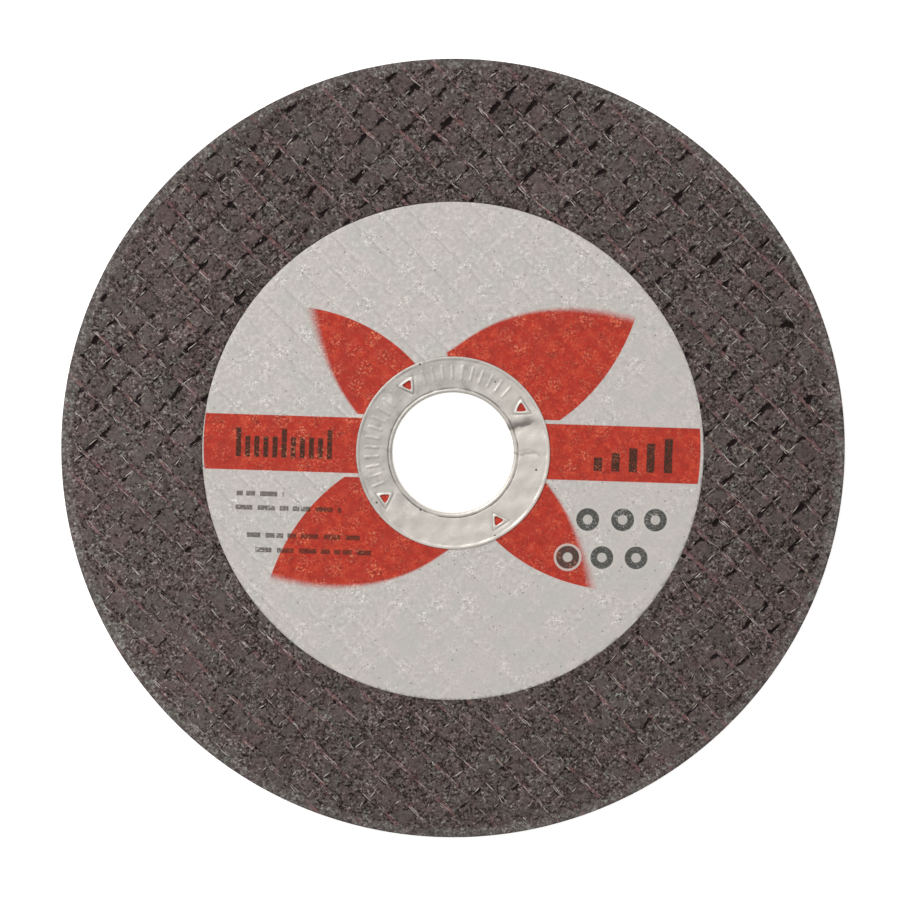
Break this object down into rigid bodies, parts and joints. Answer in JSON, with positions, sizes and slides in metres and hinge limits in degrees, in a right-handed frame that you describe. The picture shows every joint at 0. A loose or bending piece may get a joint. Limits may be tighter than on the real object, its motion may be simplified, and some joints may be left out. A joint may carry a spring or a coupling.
{
  "type": "cut-off wheel",
  "caption": "Thin flat abrasive disc reinforced with woven glass mesh, with a round paper label and a pressed sheet-metal ring lining its bore, for cutting metal on an angle grinder.",
  "frame": {"origin": "on the bore axis, at the plane that the back face's threads rest on", "axes": "+Z along the bore axis, out of the labelled face; +X to the right and +Y up as the label is read"},
  "size_m": [0.105, 0.105, 0.0014],
  "materials": {
    "abrasive": "rough resin-bonded grit, brown-grey, with glass threads showing",
    "label": "pale grey paper with red and dark print, pressed over the mesh",
    "ring": "satin tin-plated sheet"
  },
  "bodies": {
    "root": {"abrasive_disc": "abrasive", "paper_label": "label", "centre_ring": "ring"}
  },
  "joints": []
}
